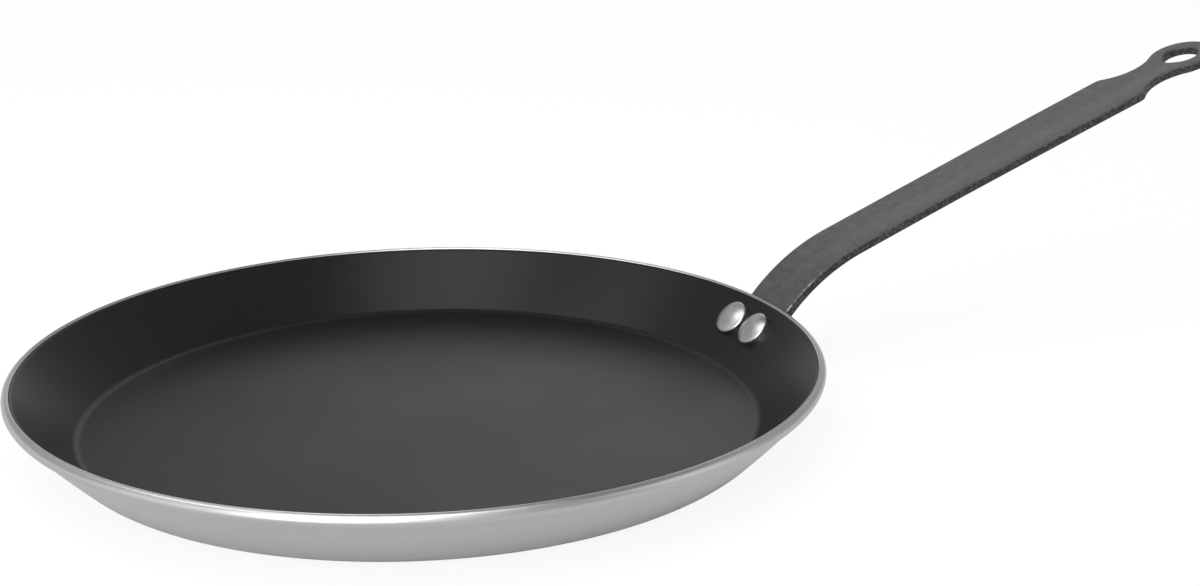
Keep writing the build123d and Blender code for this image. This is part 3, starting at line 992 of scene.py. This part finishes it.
class CREPEPAN_OT_rivets(bpy.types.Operator):
    """Set the two rivets through the wall and the handle's pad"""
    bl_idname = "crepe_pan.rivets"
    bl_label = "Set Rivets"

    def execute(self, context):
        scene = context.scene
        pan, rivet, handle = scene.crepe_pan_sizes, scene.crepe_pan_rivets, scene.crepe_pan_handle
        wall = Wall(pan)
        normal = math.asin((wall.lip.y - wall.centre.y) / wall.radius) - rivet.drop / wall.radius
        seat = polar(wall.centre, wall.radius - wall.coated_inset, normal)
        clamped = wall.coated_inset + handle.thickness - handle.pad_hollow
        piece = show("rivet_pair", chain_mesh("rivet_pair", rivet_profile(rivet, clamped)))
        settled(piece, rivet_tree(), {
            "Steps around": rivet.steps,
            "Dent depth": rivet.dent,
            "Dent size": rivet.dent_size,
            "Seed": DENT_SEED,
            "Seat": (seat.x, 0, seat.y),
            "Tilt": -normal - math.pi / 2,
            "Turn": math.asin(rivet.spacing / 2 / seat.x),
            "Material": rivet_finish(scene.crepe_pan_finishes),
        })
        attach(piece, "root")
        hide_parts("rivet_left", "rivet_right")
        return {"FINISHED"}


class CREPEPAN_OT_stage(bpy.types.Operator):
    """Set up the pale floor, the surroundings, the lamps and the camera"""
    bl_idname = "crepe_pan.stage"
    bl_label = "Set Stage"

    def execute(self, context):
        scene = context.scene
        studio = scene.crepe_pan_studio
        pale_floor(studio, scene.crepe_pan_sizes)
        surroundings(scene, studio)
        soft_lamps(studio)
        scene.camera = photo_camera(studio)
        scene.view_settings.view_transform = "Standard"
        return {"FINISHED"}


# Floor, surroundings, lamps and camera

def rays(tree):
    """Two values: one for rays from the camera, and one for rays off a shiny piece or through glass."""
    path = node(tree, "ShaderNodeLightPath").outputs
    shiny = math_node(tree, "MAXIMUM", path["Is Glossy Ray"], path["Is Transmission Ray"])
    return path["Is Camera Ray"], shiny


def pale_floor(studio, pan):
    """Floor that looks white to the camera, keeps the pan's soft shadow and looks plain grey in the metal."""
    half = studio.floor_size / 2
    corners = [(-half, -half, 0), (half, -half, 0), (half, half, 0), (-half, half, 0)]
    mesh = bpy.data.meshes.new("floor")
    mesh.from_pydata(corners, [], [(0, 1, 2, 3)])
    floor = show("floor", mesh)
    material, tree, shader = new_material("pale_floor")
    grey = studio.floor_colour
    shader.inputs["Base Color"].default_value = (grey, grey, grey, 1)
    shader.inputs["Roughness"].default_value = 0.9
    shader.inputs["Specular IOR Level"].default_value = 0.0
    camera_ray, shiny_ray = rays(tree)
    strength = span(tree, shiny_ray, 0, 1, studio.floor_white, studio.floor_in_metal, False)
    white = node(tree, "ShaderNodeEmission", {"Strength": strength}, {"Color": (1, 1, 1, 1)})
    out = node(tree, "ShaderNodeVectorMath", {0: object_place(tree)}, operation="LENGTH").outputs["Value"]
    foot = pan.base_diameter / 2
    in_metal = span(tree, out, foot, foot + pan.foot_radius, studio.floor_near, studio.floor_far, False)
    amount = math_node(tree, "ADD", math_node(tree, "MULTIPLY", camera_ray, studio.floor_seen),
                       math_node(tree, "MULTIPLY", shiny_ray, in_metal))
    blend = node(tree, "ShaderNodeMixShader", {0: amount, 1: shader.outputs[0], 2: white.outputs[0]})
    output = next(n for n in tree.nodes if n.type == "OUTPUT_MATERIAL")
    tree.links.new(blend.outputs[0], output.inputs["Surface"])
    mesh.materials.append(material)
    return floor


def surroundings(scene, studio):
    """World that is white to the camera, an even light, and dimmer above and aside in reflections."""
    world = bpy.data.worlds.new("studio")
    scene.world = world
    world.use_nodes = True
    tree = world.node_tree
    background = next(n for n in tree.nodes if n.type == "BACKGROUND")
    background.inputs["Color"].default_value = (1, 1, 1, 1)
    camera_ray, shiny_ray = rays(tree)
    way = node(tree, "ShaderNodeTexCoord").outputs["Generated"]
    rise = node(tree, "ShaderNodeSeparateXYZ", {0: way}).outputs["Z"]
    dome = span(tree, rise, math.sin(studio.white_up_to), math.sin(studio.dim_from), 1.0, studio.zenith_level)
    rightwards = (math.cos(studio.turn), -math.sin(studio.turn), 0)
    backwards = (math.sin(studio.turn), math.cos(studio.turn), 0)
    aside, behind = (
        node(tree, "ShaderNodeVectorMath", {0: way}, {1: axis}, operation="DOT_PRODUCT").outputs["Value"]
        for axis in (rightwards, backwards)
    )
    left = span(tree, aside, *studio.left_aside, 1, 0)
    left = math_node(tree, "MULTIPLY", left, span(tree, behind, *studio.left_behind))
    left = math_node(tree, "MULTIPLY", left, span(tree, rise, *studio.left_rise))
    beside = math_node(tree, "ABSOLUTE", math_node(tree, "ADD", behind, studio.right_window))
    right = math_node(tree, "MULTIPLY", span(tree, aside, *studio.right_aside),
                      span(tree, beside, *studio.right_beside))
    for part, level in ((left, studio.left_level), (right, studio.right_level)):
        dome = math_node(tree, "MULTIPLY", dome, span(tree, part, 0, 1, 1, level, False))
    lit = node(
        tree, "ShaderNodeMapRange", {"Value": shiny_ray, "To Max": dome}, {"To Min": studio.world_level},
    ).outputs["Result"]
    level = node(
        tree, "ShaderNodeMapRange", {"Value": camera_ray, "To Min": lit}, {"To Max": 1.0},
    ).outputs["Result"]
    tree.links.new(level, background.inputs["Strength"])


def soft_lamps(studio):
    """Large soft lamp over the front of the pan and a smaller one behind it."""
    front = -math.pi / 2 - studio.turn
    key = soft_lamp("key_lamp", front - studio.key_turn, studio.key_height, studio.key_distance,
                    studio.key_power, studio.key_width, studio.key_depth)
    key.color = studio.key_colour
    soft_lamp("rear_lamp", front + math.pi + studio.rear_turn, studio.rear_height, studio.key_distance,
              studio.rear_power, studio.rear_size, studio.rear_size)


def soft_lamp(name, turn, height, distance, power, width, depth):
    """Area lamp that faces the pan from a turn round it and a height above the horizon."""
    out = distance * math.cos(height)
    place = Vector((out * math.cos(turn), out * math.sin(turn), distance * math.sin(height)))
    lamp = bpy.data.lights.new(name, "AREA")
    lamp.shape = "RECTANGLE"
    lamp.size = width
    lamp.size_y = depth
    lamp.energy = power
    holder = bpy.data.objects.new(name, lamp)
    holder.location = place
    holder.rotation_mode = "QUATERNION"
    holder.rotation_quaternion = (-place).to_track_quat("-Z", "Y")
    bpy.context.scene.collection.objects.link(holder)
    return lamp


def photo_camera(studio):
    """Camera at the photograph's place, from its turn, tilt, roll and the pixel of the rim's middle."""
    camera = bpy.data.cameras.new("camera")
    camera.lens = studio.lens
    holder = bpy.data.objects.new("camera", camera)
    bpy.context.scene.collection.objects.link(holder)
    focal = studio.lens / camera.sensor_width * PHOTO_SIZE[0]
    way = Vector((0, math.cos(studio.tilt), -math.sin(studio.tilt)))
    right = Vector((1, 0, 0))
    down = way.cross(right)
    rolled_right = right * math.cos(studio.roll) + down * math.sin(studio.roll)
    rolled_down = down * math.cos(studio.roll) - right * math.sin(studio.roll)
    distance = studio.camera_distance
    aside = (studio.rim_pixel[0] - PHOTO_SIZE[0] / 2) / focal * distance
    below = (studio.rim_pixel[1] - PHOTO_SIZE[1] / 2) / focal * distance
    place = -(rolled_right * aside + rolled_down * below + way * distance)
    turn = Matrix.Rotation(-studio.turn, 3, "Z")
    axes = Matrix((turn @ rolled_right, turn @ -rolled_down, turn @ -way)).transposed()
    holder.matrix_world = axes.to_4x4()
    holder.location = turn @ place + Vector((0, 0, studio.rim_height))
    camera.clip_start, camera.clip_end = distance / 100, distance * 100
    return holder


# Panel, registration and the whole build

class CREPEPAN_PT_sidebar(bpy.types.Panel):
    """Sizes, finishes and the steps that build the pan"""
    bl_label = "Crepe Pan"
    bl_idname = "CREPEPAN_PT_sidebar"
    bl_space_type = "VIEW_3D"
    bl_region_type = "UI"
    bl_category = "Crepe Pan"

    def draw(self, context):
        layout = self.layout
        for step in STEPS:
            layout.operator(step.bl_idname)
        for label, name, group in SETTINGS:
            box = layout.box()
            box.label(text=label)
            for key in group.__annotations__:
                box.prop(getattr(context.scene, name), key)


STEPS = (CREPEPAN_OT_body, CREPEPAN_OT_coating, CREPEPAN_OT_handle, CREPEPAN_OT_rivets, CREPEPAN_OT_stage)
SETTINGS = (
    ("Pan", "crepe_pan_sizes", PanSizes),
    ("Handle", "crepe_pan_handle", HandleSizes),
    ("Rivets", "crepe_pan_rivets", RivetSizes),
    ("Finishes", "crepe_pan_finishes", PanFinishes),
    ("Studio", "crepe_pan_studio", StudioSettings),
)


def register():
    """Register the settings, the steps and the panel."""
    for label, name, group in SETTINGS:
        bpy.utils.register_class(group)
        setattr(bpy.types.Scene, name, PointerProperty(type=group))
    for step in STEPS:
        bpy.utils.register_class(step)
    bpy.utils.register_class(CREPEPAN_PT_sidebar)


def unregister():
    """Take away what register added."""
    bpy.utils.unregister_class(CREPEPAN_PT_sidebar)
    for step in reversed(STEPS):
        bpy.utils.unregister_class(step)
    for label, name, group in reversed(SETTINGS):
        delattr(bpy.types.Scene, name)
        bpy.utils.unregister_class(group)


def main():
    """Build the pan and its stage."""
    register()
    bpy.ops.crepe_pan.body()
    bpy.ops.crepe_pan.coating()
    bpy.ops.crepe_pan.handle()
    bpy.ops.crepe_pan.rivets()
    bpy.ops.crepe_pan.stage()


if __name__ == "__main__":
    main()
